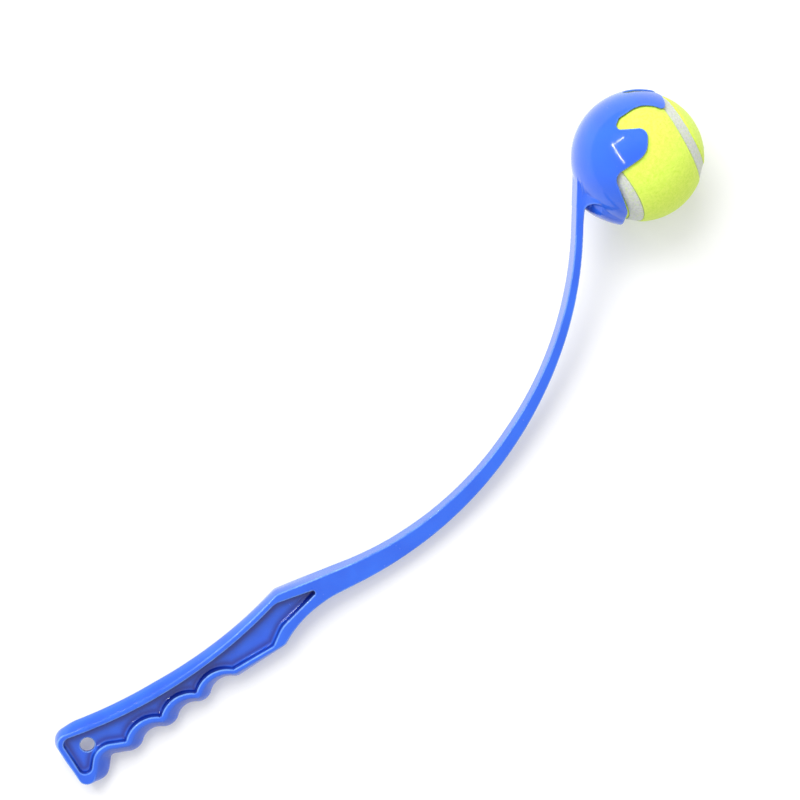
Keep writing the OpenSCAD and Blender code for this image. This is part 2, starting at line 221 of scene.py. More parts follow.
@dataclass(frozen=True)
class FieldMesher:
    """Turns a distance field into a smooth mesh of four-sided faces, each about one step wide."""

    step: float
    normal_reach: float = 0.12
    edge_reach: float = 0.8
    hollow_rises: Point = (1.5, 4.0, 9.0)
    settle_rounds: int = 3
    settle_reach: float = 0.05
    least_slope: float = 0.2

    def gradient(self, field: Field, points: Array, reach: float) -> Array:
        """Measure the slope of a field.

        Args:
            field: The field.
            points: One point a row.
            reach: Half the distance over which the slope is taken.

        Returns:
            One gradient a row.
        """
        out = np.empty_like(points)
        for axis in range(3):
            ahead, behind = points.copy(), points.copy()
            ahead[:, axis] += reach
            behind[:, axis] -= reach
            out[:, axis] = (field(*ahead.T) - field(*behind.T)) / (2 * reach)
        return out

    def normals(self, field: Field, points: Array) -> Array:
        """Give the outward unit normals of a field at points on its surface."""
        slope = self.gradient(field, points, self.normal_reach)
        return slope / np.linalg.norm(slope, axis=1, keepdims=True)

    def edges(self, field: Field, points: Array) -> Array:
        """Measure how sharply a surface bends.

        Args:
            field: The field.
            points: Points on its surface, one a row.

        Returns:
            Bend per millimetre, positive on outer edges and negative in corners.
        """
        total = -6 * field(*points.T)
        for axis in range(3):
            for move in (self.edge_reach, -self.edge_reach):
                moved = points.copy()
                moved[:, axis] += move
                total += field(*moved.T)
        return total / self.edge_reach**2

    def hollows(self, field: Field, points: Array, normals: Array) -> Array:
        """Measure how far points of a surface lie in a hollow: 0 in the open, towards 1 deep in a corner."""
        clear = [np.clip(field(*(points + normals * rise).T) / rise, 0, 1) for rise in self.hollow_rises]
        return 1 - sum(clear) / len(clear)

    def settle(self, field: Field, points: Array) -> Array:
        """Move points onto the field's surface.

        Args:
            field: The field.
            points: Points within about one step of the surface.

        Returns:
            The moved points.
        """
        for _ in range(self.settle_rounds):
            slope = self.gradient(field, points, self.settle_reach)
            value = field(*points.T)[:, None]
            steep = np.sum(slope * slope, axis=1, keepdims=True)
            move = value * slope / np.maximum(steep, self.least_slope)
            points = points - np.clip(move, -self.step / 2, self.step / 2)
        return points

    def mesh(self, field: Field, low: Point, high: Point) -> tuple[Array, Array]:
        """Mesh the surface of a field inside a box.

        Args:
            field: The field, negative inside the shape.
            low: Lowest corner of the box.
            high: Highest corner of the box.

        Returns:
            Points, and faces as four point numbers each. The mesh is open where the box cuts the shape.
        """
        ticks = [np.arange(a, b + self.step, self.step) for a, b in zip(low, high)]
        values = field(*np.ix_(*ticks))
        shape = values.shape
        crossings, rings = [], []
        for axis in range(3):
            b, c = (axis + 1) % 3, (axis + 2) % 3
            near = np.delete(values, -1, axis)
            far = np.delete(values, 0, axis)
            cut = np.argwhere((near < 0) != (far < 0))
            cut = cut[np.all(cut[:, [b, c]] > 0, axis=1)]
            cut = cut[(cut[:, b] < shape[b] - 1) & (cut[:, c] < shape[c] - 1)]
            first, second = near[tuple(cut.T)], far[tuple(cut.T)]
            where = cut.astype(float)
            where[:, axis] += first / (first - second)
            ring = []
            for db, dc in ((0, 0), (1, 0), (1, 1), (0, 1)):
                cell = cut.copy()
                cell[:, b] -= db
                cell[:, c] -= dc
                ring.append(np.ravel_multi_index(cell.T, shape))
            ring = np.stack(ring, axis=1)
            rings.append(np.where((first < 0)[:, None], ring, ring[:, ::-1]))
            crossings.append(np.repeat(where, 4, axis=0))
        rings = np.concatenate(rings)
        crossings = np.concatenate(crossings)
        _, number = np.unique(rings, return_inverse=True)
        number = number.reshape(-1)
        count = np.bincount(number)
        middle = np.stack([np.bincount(number, crossings[:, k]) / count for k in range(3)], axis=1)
        points = middle * self.step + np.array([t[0] for t in ticks])
        return self.settle(field, points), number.reshape(-1, 4)


def add_object(name: str, data: bpy.types.ID) -> Object:
    """Add an object to the scene.

    Args:
        name: Its name.
        data: Its mesh, lamp or camera.

    Returns:
        The object.
    """
    thing = bpy.data.objects.new(name, data)
    bpy.context.scene.collection.objects.link(thing)
    return thing


class Form(Enum):
    """Forms of a surface that the plastic's material turns into painted edge highlights and painted shade in
    hollows, as the names of the values kept at its points.
    """

    EDGE = "edge"
    HOLLOW = "hollow"


class Blank:
    """A meshed field on the bench, to be cut into pieces and placed."""

    def __init__(self, mesher: FieldMesher, field: Field, low: Point, high: Point, place: Matrix) -> None:
        """Mesh a field.

        Args:
            mesher: The mesher.
            field: The field of the shape, in millimetres.
            low: Lowest corner of its box.
            high: Highest corner of its box.
            place: Where its frame lies in the part's, in millimetres.
        """
        self.mesher, self.field, self.place = mesher, field, place
        points, faces = mesher.mesh(field, low, high)
        self.bm = bmesh.new()
        verts = [self.bm.verts.new(p) for p in points]
        for face in faces:
            self.bm.faces.new([verts[i] for i in face])

    def slice(self, point: Vector, normal: Vector) -> None:
        """Cut every face along a plane, and keep both sides."""
        whole = [*self.bm.verts, *self.bm.edges, *self.bm.faces]
        bmesh.ops.bisect_plane(self.bm, geom=whole, dist=CUT_TOLERANCE, plane_co=point, plane_no=normal)

    def piece(self, name: str, keep: Callable[[Vector], bool] | None = None) -> Object:
        """Take one closed piece out of the blank.

        Args:
            name: Name of the piece.
            keep: Says for the middle of a face whether it belongs to the piece. None keeps all.

        Returns:
            The piece, in place in the part's frame.
        """
        bm = self.bm.copy()
        dropped = [f for f in bm.faces if keep and not keep(f.calc_center_median())]
        bmesh.ops.delete(bm, geom=dropped, context="FACES")
        rims = [e for e in bm.edges if e.is_boundary]
        for f in bm.faces:
            f.smooth = True
        if rims:
            caps = bmesh.ops.holes_fill(bm, edges=rims, sides=0)["faces"]
            bmesh.ops.triangulate(bm, faces=caps)
        mesh = bpy.data.meshes.new(name)
        bm.to_mesh(mesh)
        bm.free()
        points = np.empty(3 * len(mesh.vertices))
        mesh.vertices.foreach_get("co", points)
        points = points.reshape(-1, 3)
        normals = self.mesher.normals(self.field, points)
        forms = {
            Form.EDGE: self.mesher.edges(self.field, points),
            Form.HOLLOW: self.mesher.hollows(self.field, points, normals),
        }
        for form, values in forms.items():
            mesh.attributes.new(form.value, "FLOAT", "POINT").data.foreach_set("value", values)
        turn = np.array(self.place.to_3x3())
        mesh.transform(Matrix.Scale(MM, 4) @ self.place)
        mesh.normals_split_custom_set_from_vertices((normals @ turn.T).tolist())
        return add_object(name, mesh)


def dress(piece: Object, finish: Material) -> Object:
    """Give a piece its finish.

    Args:
        piece: The piece.
        finish: Its material.

    Returns:
        The same piece.
    """
    piece.data.materials.clear()
    piece.data.materials.append(finish)
    LOG.info("%s: %d faces", piece.name, len(piece.data.polygons))
    return piece


@dataclass(frozen=True)
class RestingPlace:
    """How the launcher lies: rolled about the line from the butt's nose to the flared corner of the grip."""

    throw_len: float = 399.0
    grip_slope: float = 13.1
    head_turn: float = 47.2
    roll: float = 15.7205
    rest_axis: Point = (0.979833, -0.199819, 0.0)
    seam_turn: Point = (-172.0, -149.0, -61.0)

    def lie(self) -> Matrix:
        """Give the roll that lays the launcher on the table."""
        return Matrix.Rotation(math.radians(self.roll), 4, Vector(self.rest_axis))

    def grip(self) -> Matrix:
        """Give the place of the grip's frame."""
        return self.lie() @ Matrix.Rotation(math.radians(-self.grip_slope), 4, "Z")

    def head(self) -> Matrix:
        """Give the place of the head's frame, with the ball's centre at its zero."""
        turn = Matrix.Rotation(math.radians(-self.head_turn), 4, "Z")
        return self.lie() @ Matrix.Translation((self.throw_len, 0, 0)) @ turn

    def ball(self) -> Matrix:
        """Give the place of the ball's frame, turned with its seam."""
        x, y, z = (Matrix.Rotation(math.radians(a), 4, n) for a, n in zip(self.seam_turn, "XYZ"))
        return self.head() @ z @ y @ x

    def head_from_grip(self, p: complex) -> complex:
        """Take a plane point from the grip's frame to the head's."""
        return (p * heading(-self.grip_slope) - self.throw_len) * heading(self.head_turn)

    def grip_from_head(self, p: complex) -> complex:
        """Take a plane point from the head's frame to the grip's."""
        return (p * heading(-self.head_turn) + self.throw_len) * heading(self.grip_slope)


@dataclass(frozen=True)
class Blade:
    """The bowed arm: its inner and outer arcs in the head's frame, and the neck that runs into the cup."""

    depth: float = 12.0
    neck_t: float = 3.3
    mid_t: float = 6.35
    root_t: float = 9.4
    edge_r: float = 0.5
    waist: float = 1.3
    waist_in: Band = (130.0, 180.0)
    waist_out: Band = (280.0, 335.0)
    cup_r: float = 33.85
    neck_inset: float = 5.7
    neck_drop: float = 3.85
    buried_top: tuple[complex, complex] = (-31.9 - 1j, -26.0 - 1j)
    buried_y: float = -13.0
    arc_corners: int = 4

    def neck_in(self) -> complex:
        """Give the inner corner of the neck."""
        return complex(self.neck_inset - self.cup_r, -self.neck_drop - self.cup_r)

    def inner_arc(self, root: complex) -> tuple[complex, float, float]:
        """Find the arc of the inner edge, which leaves the neck straight down.

        Args:
            root: The arm's inner corner at the grip, in the head's frame.

        Returns:
            Centre, radius, and the angle in degrees of the root seen from the centre.
        """
        run = root - self.neck_in()
        radius = -abs(run) ** 2 / (2 * run.real)
        centre = self.neck_in() - radius
        return centre, radius, math.degrees(cmath.phase(root - centre))

    def outer_points(self, root: complex) -> tuple[complex, complex, complex]:
        """Find points of the outer edge from the arm's thickness.

        Args:
            root: The arm's inner corner at the grip, in the head's frame.

        Returns:
            The outer edge at the neck, half way and at the root.
        """
        centre, radius, sweep = self.inner_arc(root)
        mid = centre + heading(sweep / 2) * (radius - self.mid_t)
        return self.neck_in() - self.neck_t, mid, centre + heading(sweep) * (radius - self.root_t)

    def tangents(self, centre: complex, radius: float, start: float, end: float) -> list[Corner]:
        """Wrap an arc in tangent corners.

        Args:
            centre: Centre of the arc.
            radius: Its radius.
            start: Angle of its first point, in degrees.
            end: Angle of its last point, in degrees.

        Returns:
            Corners that round to the arc.
        """
        step = (end - start) / self.arc_corners
        far = radius / math.cos(math.radians(step / 2))
        turns = [start + (i + 0.5) * step for i in range(self.arc_corners)]
        return [Corner(centre + far * heading(turn), radius) for turn in turns]

    def corners(self, root: complex) -> list[Corner]:
        """List the arm's corners from the outer root round the neck to the inner root.

        Args:
            root: The arm's inner corner at the grip, in the head's frame.

        Returns:
            Corners in the head's frame. The ones past the neck lie inside the cup's wall.
        """
        neck, mid, outer_root = self.outer_points(root)
        left, right = mid - neck, outer_root - mid
        centre = crossing((neck + mid) / 2, 1j * left, (mid + outer_root) / 2, 1j * right)
        angles = [math.degrees(cmath.phase(p - centre)) for p in (outer_root, neck)]
        outer = self.tangents(centre, abs(neck - centre), *angles)
        bow_centre, bow_r, sweep = self.inner_arc(root)
        inner = self.tangents(bow_centre, bow_r, 0, sweep)
        top = [*self.buried_top, complex(self.neck_in().real, self.buried_y)]
        return outer + [Corner(at) for at in top] + inner


@dataclass(frozen=True)
class GripPlan:
    """Outline and pocket of the grip, in its own frame: x along the finger ridges, y towards the spine."""

    blade: Blade = Blade()
    rest: RestingPlace = RestingPlace()
    ridge_pitch: float = 21.0
    groove_depth: float = 3.8
    grooves: int = 3
    rim_w: float = 2.3
    butt_rim_w: float = 2.8
    web_t: float = 2.4
    hang_hole_r: float = 3.6
    spine_bulge: float = 3.5
    finger_bulge: float = 5.5
    butt_bulge: float = 0.9
    ridge_sweep: float = 2.0
    first_ridge: complex = 17.2 - 11.2j
    spine_start: Corner = Corner(-12.1 + 13.8j, 5.0)
    butt_nose: Corner = Corner(-14.2 - 24.6j, 4.5)
    spine_dip_y: float = -3.8
    spine_bend_r: float = 8.0
    arc_share: float = 0.86
    ridge_r: float = 2.2
    flare_r: float = 2.5
    # Steps from the first ridge, the last ridge and the flared corner to the corners near them
    butt_groove: Corner = Corner(-13.6 + 6.8j, 8.0)
    to_flare: complex = 28.8 - 2j
    to_bend: complex = 10.9 + 23.9j
    to_root: complex = 48.6 + 4.15j
    root_hollow: Corner = Corner(19.3 + 8.8j, 60.0)
    # The pocket's own corners, as steps from the spine's bend and from the flared corner, its rim left out
    pocket_bend: Corner = Corner(-3.2 - 1.3j, 10.0)
    pocket_tip: Corner = Corner(31.0 + 13.8j, 1.2)
    pocket_hollow: Corner = Corner(3.6 + 8.2j, 16.0)
    pocket_flare: Corner = Corner(-5.0 + 0.3j, 2.5)
    pocket_end_r: float = 3.5
    pocket_butt_groove_r: float = 10.0
    pocket_ridge_r: float = 1.0
    pocket_rim_share: float = 0.55
    pocket_fillet: float = 1.6
    rim_edge_r: float = 0.75
    hole_edge_r: float = 0.5
    # Where the wall's swell eases in and out, along and across the grip
    swell_power: float = 1.6
    swell_butt: Band = (-12.0, 3.0)
    swell_finger: Band = (-7.0, -1.0)
    swell_full_to: float = 45.0
    swell_short: float = 16.0
    sweep_out: Band = (70.0, 110.0)

    def last_ridge(self) -> complex:
        """Give the ridge next to the arm."""
        return self.first_ridge + self.grooves * self.ridge_pitch

    def flare(self) -> complex:
        """Give the flared corner at the front of the grip."""
        return self.last_ridge() + self.to_flare

    def spine_bend(self) -> complex:
        """Give the corner where the spine bends down to the arm."""
        return self.flare() + self.to_bend

    def arm_root(self) -> complex:
        """Give the arm's inner corner at the grip."""
        return self.flare() + self.to_root

    def groove_shape(self) -> tuple[float, float]:
        """Work out the corner that rounds to a finger groove.

        Returns:
            Its height over the ridges, and its radius.
        """
        half = self.ridge_pitch / 2
        rise = half * math.tan(2 * math.atan(self.groove_depth / half))
        return rise, self.arc_share * (half**2 + self.groove_depth**2) / (2 * self.groove_depth)

    def spine(self) -> list[Corner]:
        """Draw the back of the grip.

        Returns:
            Its corners from the butt to the arm.
        """
        start, bend = self.spine_start.at, self.spine_bend()
        dip = complex((start.real + bend.real) / 2, self.spine_dip_y)
        half = abs(cmath.phase((start - dip) / (bend - dip))) / 2
        dip_r = self.arc_share * abs(dip - start) * math.tan(half)
        return [self.spine_start, Corner(dip, dip_r), Corner(bend, self.spine_bend_r)]

    def front(self) -> list[Corner]:
        """Draw the front of the grip.

        Returns:
            Its corners from the last ridge to the nose of the butt.
        """
        rise, radius = self.groove_shape()
        row = []
        for i in range(self.grooves + 1):
            ridge = self.last_ridge() - i * self.ridge_pitch
            row.append(Corner(ridge, self.ridge_r))
            if i < self.grooves:
                row.append(Corner(ridge - self.ridge_pitch / 2 + 1j * rise, radius))
        return row + [self.butt_groove.moved(self.first_ridge), self.butt_nose]

    def corners(self) -> list[Corner]:
        """Draw the grip and the arm together.

        Returns:
            Their corners in the grip's frame.
        """
        root = self.rest.head_from_grip(self.arm_root())
        arm = [Corner(self.rest.grip_from_head(c.at), c.r) for c in self.blade.corners(root)]
        flare = [self.root_hollow.moved(self.flare()), Corner(self.flare(), self.flare_r)]
        return self.spine() + arm + flare + self.front()

    def drawn_in(self, a: complex, b: complex, c: complex, before: float, after: float) -> complex:
        """Move corner b inwards, with the edge from a by one distance and the edge to c by another."""
        first, second = (b - a) / abs(b - a), (c - b) / abs(c - b)
        return crossing(b - 1j * first * before, first, b - 1j * second * after, second)

    def pocket(self) -> Outline:
        """Draw the pocket: the grip's outline drawn in by its rims, closed by a tip where the arm begins.

        Returns:
            The outline, in the grip's frame.
        """
        spine, front = self.spine(), self.front()
        flare, rim = self.flare(), self.rim_w
        nose, groove_r = front[-1], self.groove_shape()[1]
        start = self.drawn_in(nose.at, spine[0].at, spine[1].at, self.butt_rim_w, rim)
        dip = self.drawn_in(spine[0].at, spine[1].at, spine[2].at, rim, rim)
        corners = [
            Corner(start, self.pocket_end_r),
            Corner(dip, spine[1].r + rim),
            self.pocket_bend.moved(self.spine_bend() - 1j * rim),
            self.pocket_tip.moved(flare),
            self.pocket_hollow.moved(flare),
            self.pocket_flare.moved(flare + 1j * rim),
        ]
        ring = [flare, *(c.at for c in front), spine[0].at]
        for i in range(1, len(ring) - 1):
            last = i == len(ring) - 2
            at = self.drawn_in(ring[i - 1], ring[i], ring[i + 1], rim, self.butt_rim_w if last else rim)
            if last:
                radius = self.pocket_end_r
            elif i == len(ring) - 3:
                radius = self.pocket_butt_groove_r
            elif i % 2 == 0:
                radius = groove_r + self.pocket_rim_share * rim
            else:
                radius = self.pocket_ridge_r
            corners.append(Corner(at, radius))
        return Outline(corners)

    def swell(self, x: Array, y: Array) -> Array:
        """Say how far the outer wall swells beyond its rims.

        Args:
            x: Coordinates along the grip.
            y: Coordinates towards the spine.

        Returns:
            The swell half way across the depth.
        """
        end = self.arm_root().real - self.swell_short
        bulge = self.spine_bulge + (self.finger_bulge - self.spine_bulge) * self.finger(y)
        bulge = self.butt_bulge + (bulge - self.butt_bulge) * smooth_step(x, *self.swell_butt)
        return bulge * np.clip((end - x) / (end - self.swell_full_to), 0, 1)

    def finger(self, y: Array) -> Array:
        """Ease from 0 at the spine to 1 at the finger grooves."""
        return 1 - smooth_step(y, *self.swell_finger)

    def half_depth(self, x: Array) -> Array:
        """Give half the depth, which is full at the grip and the neck and less between.

        Args:
            x: Coordinates along the grip.

        Returns:
            Half depths.
        """
        blade = self.blade
        slim = smooth_step(x, *blade.waist_in) * (1 - smooth_step(x, *blade.waist_out))
        return blade.depth / 2 - blade.waist * slim


@dataclass(frozen=True)
class CupPlan:
    """The clawed cup, in the head's frame: x towards the mouth, y across it, w across the depth."""

    radius: float = 33.5
    centre: complex = -0.2 - 0.4j
    cavity_r: float = 32.05
    mouth_unit: float = 33.85
    edge_r: float = 0.8
    inner_edge_r: float = 0.5
    gusset_at: complex = -22.8 - 15.3j
    gusset_half: float = 5.7
    gusset_flare: float = 10.0
    flare_along: Band = (-32.0, -22.0)
    flare_up: Band = (-33.0, -19.0)
    fin_fillet: float = 4.5
    crease_r: float = 0.35
    keel_r: float = 4.7
    keel_half: float = 8.0
    keel_spread: float = 1.2
    keel_spread_from: float = -25.0
    keel_spread_run: float = 4.0
    keel_path: float = 28.24
    keel_taper: float = 0.16
    keel_start: float = -29.5
    keel_fillet: float = 2.0
    slot_half: float = 3.6
    slot_back: float = 9.0
    slot_tip: float = 6.77
    slot_flare: complex = 10.0 + 15.0j
    slot_flare_r: float = 2.5
    slot_root_flat: float = 0.1
    edge_allowance: float = 0.3
    bend_from: float = 0.8
    bend_to: float = 9.0
    # Each root plane's tilt and turn in degrees, and the notches' heights behind and before the ball
    upper_root: Band = (35.3, 0.0)
    side_root: Band = (31.1, 3.3)
    upper_notch: Band = (0.526, 0.766)
    lower_notch: Band = (-0.043, -0.443)
    mouth_corners: tuple[Point, ...] = (
        (0.28, 1.3, 0.002), (0.25, 0.754, 0.075), (-0.096, 0.877, 0.494), (-0.455, 0.65, 0.1),
        (-0.548, 0.481, 0.053), (-0.089, 0.538, 0.1), (-0.107, 0.203, 0.302), (-0.554, -0.151, 0.17),
        (-0.295, -0.709, 0.19), (-0.27, -1.3, 0.002), (-1.3, -1.3, 0.002), (-1.3, 1.3, 0.002),
    )

    def mouth(self) -> Outline:
        """Draw the edge of the cup as it is seen across the depth, from the upper claws to the lower lip."""
        unit = self.mouth_unit
        return Outline([Corner(complex(x, y) * unit, r * unit) for x, y, r in self.mouth_corners])

    def slot(self) -> Outline:
        """Draw the slot between the upper claws.

        Returns:
            The outline, seen along y, with the depth as its second axis.
        """
        tip = complex(self.slot_tip, self.slot_half)
        root = complex(-self.slot_back, self.slot_half)
        half = [
            Corner(tip + self.slot_flare),
            Corner(tip, self.slot_flare_r),
            Corner(root, self.slot_half - self.slot_root_flat),
        ]
        return Outline(half + [Corner(c.at.conjugate(), c.r) for c in reversed(half)])

    def root_normal(self, pair: ClawPair, hand: Hand) -> Vector:
        """Give the direction from a claw's root to its tip.

        Args:
            pair: The pair that the claw belongs to.
            hand: Its side.

        Returns:
            The unit normal of the root plane, which holds the ball's centre.
        """
        root = self.upper_root if pair is ClawPair.UPPER else self.side_root
        tilt, turn = (math.radians(a) for a in root)
        level = math.cos(tilt)
        return Vector((level * math.cos(turn), level * math.sin(turn), hand.value * math.sin(tilt)))

    def on_claw(self, p: Vector, pair: ClawPair, hand: Hand) -> bool:
        """Say whether a point of the shell belongs to a claw.

        Args:
            p: The point.
            pair: The pair that the claw belongs to.
            hand: Its side.

        Returns:
            True in front of the claw's root and between its two notches.
        """
        if p.z * hand.value < 0 or p.dot(self.root_normal(pair, hand)) < 0:
            return False
        along = (p.x / self.mouth_unit + 1) / 2
        notches = self.upper_notch, self.lower_notch
        upper, lower = ((back + (front - back) * along) * self.mouth_unit for back, front in notches)
        return p.y > upper if pair is ClawPair.UPPER else lower < p.y < upper


@dataclass
class Launcher:
    """The one-piece moulding: grip, arm and cup with its claws, and the boxes in which they are meshed."""

    plan: GripPlan = GripPlan()
    cup: CupPlan = CupPlan()
    blade_mesher: FieldMesher = FieldMesher(0.6)
    cup_mesher: FieldMesher = FieldMesher(0.5)
    grip_box: tuple[Point, Point] = ((-20.0, -36.0, -7.2), (168.0, 22.0, 7.2))
    arm_box: tuple[Point, Point] = ((150.0, -16.0, -7.2), (356.0, 96.0, 7.2))
    head_box: tuple[Point, Point] = ((-38.0, -40.7, -35.5), (14.0, 35.5, 35.5))

    def __post_init__(self) -> None:
        """Draw the outlines that the fields use."""
        corners = self.plan.corners()
        rest = self.plan.rest
        self.outline = Outline(corners)
        self.head_outline = Outline([Corner(rest.head_from_grip(c.at), c.r) for c in corners])
        self.pocket = self.plan.pocket()
        self.mouth = self.cup.mouth()
        self.slot = self.cup.slot()

    def grip_field(self, x: Array, y: Array, w: Array) -> Array:
        """Measure the distance from the grip and the arm.

        Args:
            x: Coordinates along the grip.
            y: Coordinates towards the spine.
            w: Coordinates across the depth.

        Returns:
            Distances, negative inside the plastic.
        """
        plan, half = self.plan, self.plan.half_depth(x)
        swell, reach = plan.swell(x, y), np.abs(w) / half
        lift = np.maximum(1 - reach**plan.swell_power, 0)
        sweep = plan.ridge_sweep * lift * plan.finger(y) * (1 - smooth_step(x, *plan.sweep_out))
        wall = self.outline.distance(x - sweep, y) - swell * lift
        slant = plan.swell_power * swell * reach ** (plan.swell_power - 1) / half
        wall = wall / np.sqrt(1 + slant**2)
        body = round_max(wall, np.abs(w) - half, plan.blade.edge_r)
        pocket = round_max(self.pocket.distance(x, y), plan.web_t / 2 - np.abs(w), plan.pocket_fillet)
        body = round_max(body, -pocket, plan.rim_edge_r)
        return round_max(body, plan.hang_hole_r - np.hypot(x, y), plan.hole_edge_r)

    def head_field(self, x: Array, y: Array, w: Array) -> Array:
        """Measure the distance from the cup, its claws and the neck.

        Args:
            x: Coordinates towards the mouth.
            y: Coordinates across the mouth.
            w: Coordinates across the depth.

        Returns:
            Distances, negative inside the plastic.
        """
        cup, blade = self.cup, self.plan.blade
        far = np.sqrt(x * x + y * y + w * w)
        shell = np.sqrt((x - cup.centre.real) ** 2 + (y - cup.centre.imag) ** 2 + w * w) - cup.radius
        keel = np.hypot(x, y) - cup.keel_path + cup.keel_taper * x
        spread = np.clip(x - cup.keel_spread_from, 0, cup.keel_spread_run)
        flat = cup.keel_r / (cup.keel_half + cup.keel_spread * spread)
        keel, side = np.hypot(keel, w * flat), np.hypot(keel, w * flat**2)
        keel = (keel - cup.keel_r) * keel / np.maximum(side, TINY)
        keel = np.maximum(np.maximum(keel, y), cup.keel_start - x)
        gusset = np.maximum(np.abs(x - cup.gusset_at.real), np.abs(y - cup.gusset_at.imag))
        gusset = gusset - cup.gusset_half
        fin = round_min(self.head_outline.distance(x, y), gusset, cup.fin_fillet)
        flare = cup.gusset_flare * smooth_step(x, *cup.flare_along) * smooth_step(y, *cup.flare_up)
        fin = round_max(fin, np.abs(w) - blade.depth / 2 - flare, blade.edge_r)
        whole = round_min(round_min(shell, keel, cup.keel_fillet), fin, cup.crease_r)
        whole = round_max(whole, self.mouth.distance(x, y) - cup.edge_allowance, cup.edge_r)
        slot = np.maximum(self.slot.distance(x, w), -y)
        whole = round_max(whole, -slot, cup.edge_r)
        return round_max(whole, cup.cavity_r - far, cup.inner_edge_r)

    def build(self, finish: dict[str, Material]) -> None:
        """Mesh the moulding, cut it into its pieces and dress them in the finishes by sub-part."""
        self.build_grip_and_arm(finish)
        self.build_head(finish["cup"])

    def build_grip_and_arm(self, finish: dict[str, Material]) -> None:
        """Build the grip with its web, and the arm.

        Args:
            finish: The plastic finishes by the name of the sub-part.
        """
        plan, rest = self.plan, self.plan.rest
        root = plan.arm_root()
        outer_root = rest.grip_from_head(plan.blade.outer_points(rest.head_from_grip(root))[2])
        forward = vector(-1j * (outer_root - root) / abs(outer_root - root))
        root_point = vector(root)
        neck_point = vector(rest.grip_from_head(plan.blade.neck_in()))
        neck_up = vector(1j * heading(rest.grip_slope - rest.head_turn))

        def past_root(p: Vector) -> float:
            """Say how far a point lies beyond the grip's end."""
            return (p - root_point).dot(forward)

        def past_neck(p: Vector) -> float:
            """Say how far a point lies beyond the neck."""
            return (p - neck_point).dot(neck_up)

        grip = Blank(self.blade_mesher, self.grip_field, *self.grip_box, rest.grip())
        grip.slice(root_point, forward)
        piece = grip.piece("grip", lambda p: past_root(p) < 0)
        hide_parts("handle_flange", "handle_web")
        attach(dress(piece, finish["grip"]), "launcher")

        arm = Blank(self.blade_mesher, self.grip_field, *self.arm_box, rest.grip())
        arm.slice(root_point, forward)
        arm.slice(neck_point, neck_up)
        piece = arm.piece("throwing_arm_blade", lambda p: past_root(p) > 0 > past_neck(p))
        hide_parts("throwing_arm")
        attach(dress(piece, finish["arm"]), "launcher")

    def build_head(self, finish: Material) -> None:
        """Build the cup and its four claws.

        Args:
            finish: The plastic of the cup.
        """
        cup, place = self.cup, self.plan.rest.head()
        neck_y = self.plan.blade.neck_in().imag
        blank = Blank(self.cup_mesher, self.head_field, *self.head_box, place)
        blank.slice(Vector((0, neck_y, 0)), Vector((0, 1, 0)))
        claws = [(pair, hand) for pair in ClawPair for hand in Hand]
        for pair, hand in claws:
            blank.slice(Vector(), cup.root_normal(pair, hand))

        def on_cup(p: Vector) -> bool:
            """Say whether a point is on the cup itself, above the neck and on no claw."""
            return p.y > neck_y and not any(cup.on_claw(p, pair, hand) for pair, hand in claws)

        piece = blank.piece("cup", on_cup)
        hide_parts("ball_cup", "lower_lip", "neck_gusset")
        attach(dress(piece, finish), "launcher")
        for pair, hand in claws:
            node = f"{pair.value}_{hand.name.lower()}"
            piece = blank.piece(f"{node}_bending", partial(cup.on_claw, pair=pair, hand=hand))
            dress(piece, finish)
            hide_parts(node)
            normal = cup.root_normal(pair, hand)
            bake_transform(piece)


